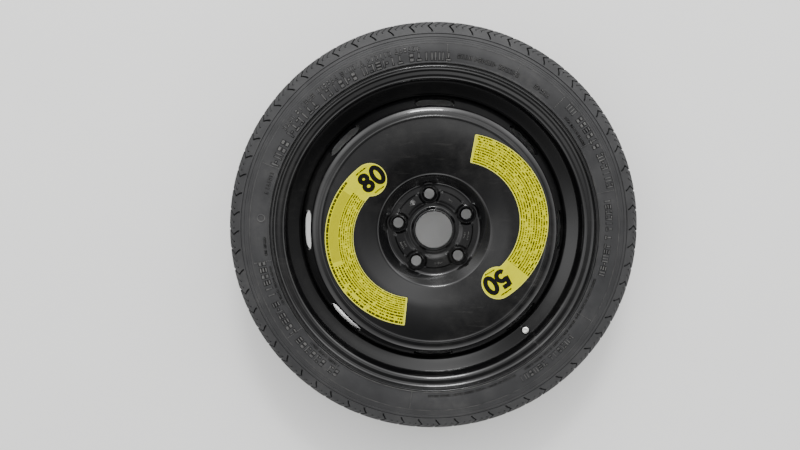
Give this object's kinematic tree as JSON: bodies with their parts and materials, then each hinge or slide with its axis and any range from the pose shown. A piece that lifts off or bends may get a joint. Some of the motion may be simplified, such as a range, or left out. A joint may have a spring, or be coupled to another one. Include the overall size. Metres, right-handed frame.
{
  "type": "temporary spare wheel",
  "caption": "Space saver spare wheel: narrow tyre on a black pressed steel wheel with windows, bolt holes, yellow speed labels and a capped snap-in valve.",
  "frame": {"origin": "centre of the hub bore in the plane of the hub mounting face", "axes": "+Z along the wheel's axis towards the outboard side, which faces up; +X and +Y are the right and the top of the picture"},
  "size_m": [0.632, 0.632, 0.1242],
  "materials": {
    "tyre_rubber": "matt dark grey rubber",
    "black_paint": "gloss black stoved paint, dusty and lightly scuffed",
    "painted_weld": "black paint over rippled weld metal",
    "yellow_film": "printed yellow film, satin",
    "valve_rubber": "smooth black rubber",
    "valve_brass": "turned brass",
    "cap_metal": "bright satin metal",
    "seal_rubber": "soft black rubber",
    "red_seal": "red sealing ring",
    "spring_steel": "bright spring wire"
  },
  "bodies": {
    "wheel": {"tyre": "tyre_rubber", "rim": "black_paint", "disc": "black_paint", "weld_seam_1": "painted_weld", "weld_seam_2": "painted_weld", "weld_seam_3": "painted_weld", "weld_seam_4": "painted_weld", "weld_seam_5": "painted_weld", "weld_seam_6": "painted_weld", "weld_seam_7": "painted_weld", "weld_seam_8": "painted_weld", "speed_label_left": "yellow_film", "speed_label_right": "yellow_film", "valve_body": "valve_rubber", "valve_stem": "valve_brass", "valve_core_barrel": "valve_brass", "valve_core_gasket": "red_seal", "valve_core_spring": "spring_steel"},
    "cap": {"valve_cap": "cap_metal", "valve_cap_seal": "seal_rubber"},
    "core_pin": {"valve_core_pin": "valve_brass", "valve_core_cup": "valve_brass"}
  },
  "joints": [
    {"name": "valve_cap_off", "type": "slide", "parent": "wheel", "child": "cap", "axis": [-0.214, 0.2343, 0.9483], "range_m": [0, 0.015]},
    {"name": "valve_pin_press", "type": "slide", "parent": "wheel", "child": "core_pin", "axis": [0.214, -0.2343, -0.9483], "range_m": [0, 0.0015], "stiffness_N_per_m": 700, "springref_m": -0.001, "deforming": ["valve_core_spring"]}
  ]
}
